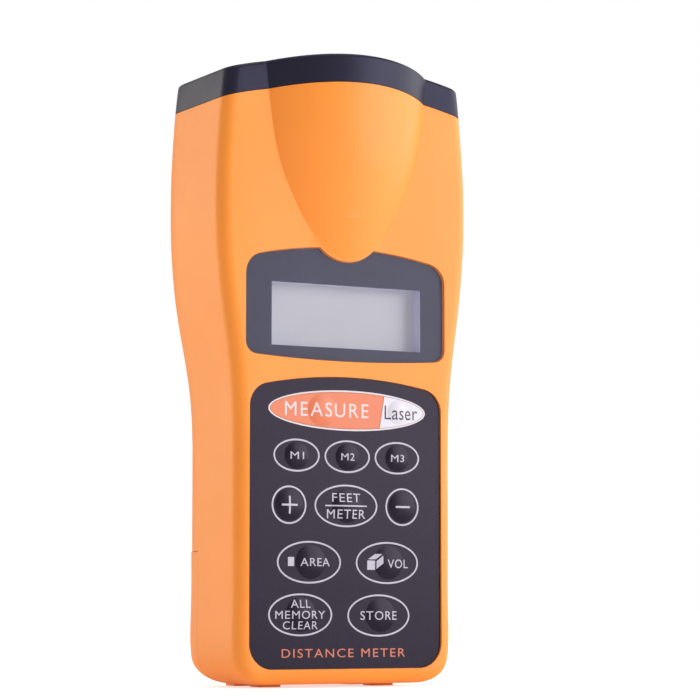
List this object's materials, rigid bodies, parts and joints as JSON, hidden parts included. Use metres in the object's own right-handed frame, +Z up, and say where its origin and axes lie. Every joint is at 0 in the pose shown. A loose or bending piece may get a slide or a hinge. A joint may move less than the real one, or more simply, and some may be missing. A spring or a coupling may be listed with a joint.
{
  "type": "handheld ultrasonic distance meter",
  "caption": "Handheld distance meter: orange waisted casing, dark arched nose cap with horn and laser, recessed display, film keypad and sliding battery door.",
  "frame": {"origin": "on the standing plane under the feet, at the middle of the overall width and depth", "axes": "+Z up the instrument from its base to the horn mouth, -Y out of the keypad and display face, +X to the right of someone reading the display"},
  "size_m": [0.0736, 0.0519, 0.162],
  "materials": {
    "orange_shell": "satin, fine texture",
    "dark_cap": "satin",
    "screw_steel": "zinc, dark",
    "keypad_film": "satin printed film",
    "key_film": "satin printed film",
    "measure_film": "satin printed film",
    "laser_film": "satin printed film",
    "clear_window": "polished",
    "display_print": "gloss behind clear acrylic",
    "pale_plastic": "satin",
    "lcd": "matt polariser",
    "dark_rubber": "matt",
    "silicone": "matt",
    "circuit_board": "solder mask",
    "chip_epoxy": "matt",
    "chip_ceramic": "matt",
    "bright_metal": "bright",
    "mesh_metal": "bright",
    "capacitor_sleeve": "gloss sleeve",
    "ferrite": "matt",
    "black_plastic": "satin",
    "battery_jacket": "satin",
    "foam": "matt foam",
    "red_wire": "satin",
    "black_wire": "satin",
    "brass_barrel": "turned"
  },
  "bodies": {
    "casing": {"amplifier_chips": "chip_epoxy", "battery": "battery_jacket", "battery_foam": "foam", "battery_snap": "black_plastic", "battery_terminals": "bright_metal", "battery_tray": "black_plastic", "board_screws": "screw_steel", "buzzer": "black_plastic", "casing_screws": "screw_steel", "crystal": "bright_metal", "display_lens": "clear_window", "display_mask": "display_print", "driver_transformer": "ferrite", "electrolytic_capacitors": "capacitor_sleeve", "front_shell": "orange_shell", "horn": "black_plastic", "key_mat": "silicone", "keypad_overlay": "keypad_film", "laser_barrel": "brass_barrel", "laser_diode": "bright_metal", "laser_holder": "black_plastic", "laser_lens": "clear_window", "laser_window": "clear_window", "laser_wires": "red_wire", "lcd_frame": "pale_plastic", "lcd_glass": "lcd", "main_board": "circuit_board", "mcu_chip": "chip_epoxy", "negative_wire": "black_wire", "nose_cap": "dark_cap", "positive_wire": "red_wire", "rear_shell": "orange_shell", "smd_passives": "chip_ceramic", "temperature_sensor": "chip_epoxy", "transducer_can": "bright_metal", "transducer_cushion": "dark_rubber", "transducer_element": "pale_plastic", "transducer_mesh": "mesh_metal", "transducer_pins": "bright_metal", "transducer_wires": "black_wire", "zebra_strips": "dark_rubber"},
    "measure_button": {"measure_key": "measure_film"},
    "laser_button": {"laser_key": "laser_film"},
    "m1_button": {"m1_key": "key_film"},
    "m2_button": {"m2_key": "key_film"},
    "m3_button": {"m3_key": "key_film"},
    "plus_button": {"plus_key": "key_film"},
    "unit_button": {"unit_key": "key_film"},
    "minus_button": {"minus_key": "key_film"},
    "area_button": {"area_key": "key_film"},
    "volume_button": {"volume_key": "key_film"},
    "clear_button": {"clear_key": "key_film"},
    "store_button": {"store_key": "key_film"},
    "door": {"battery_door": "orange_shell"}
  },
  "joints": [
    {"name": "measure_button_press", "type": "slide", "parent": "casing", "child": "measure_button", "axis": [0, 1, 0], "range_m": [0, 0.0008]},
    {"name": "laser_button_press", "type": "slide", "parent": "casing", "child": "laser_button", "axis": [0, 1, 0], "range_m": [0, 0.0008]},
    {"name": "m1_button_press", "type": "slide", "parent": "casing", "child": "m1_button", "axis": [0, 1, 0], "range_m": [0, 0.0008]},
    {"name": "m2_button_press", "type": "slide", "parent": "casing", "child": "m2_button", "axis": [0, 1, 0], "range_m": [0, 0.0008]},
    {"name": "m3_button_press", "type": "slide", "parent": "casing", "child": "m3_button", "axis": [0, 1, 0], "range_m": [0, 0.0008]},
    {"name": "plus_button_press", "type": "slide", "parent": "casing", "child": "plus_button", "axis": [0, 1, 0], "range_m": [0, 0.0008]},
    {"name": "unit_button_press", "type": "slide", "parent": "casing", "child": "unit_button", "axis": [0, 1, 0], "range_m": [0, 0.0008]},
    {"name": "minus_button_press", "type": "slide", "parent": "casing", "child": "minus_button", "axis": [0, 1, 0], "range_m": [0, 0.0008]},
    {"name": "area_button_press", "type": "slide", "parent": "casing", "child": "area_button", "axis": [0, 1, 0], "range_m": [0, 0.0008]},
    {"name": "volume_button_press", "type": "slide", "parent": "casing", "child": "volume_button", "axis": [0, 1, 0], "range_m": [0, 0.0008]},
    {"name": "clear_button_press", "type": "slide", "parent": "casing", "child": "clear_button", "axis": [0, 1, 0], "range_m": [0, 0.0008]},
    {"name": "store_button_press", "type": "slide", "parent": "casing", "child": "store_button", "axis": [0, 1, 0], "range_m": [0, 0.0008]},
    {"name": "door_slide", "type": "slide", "parent": "casing", "child": "door", "axis": [0, 0, -1], "range_m": [0, 0.04]}
  ]
}
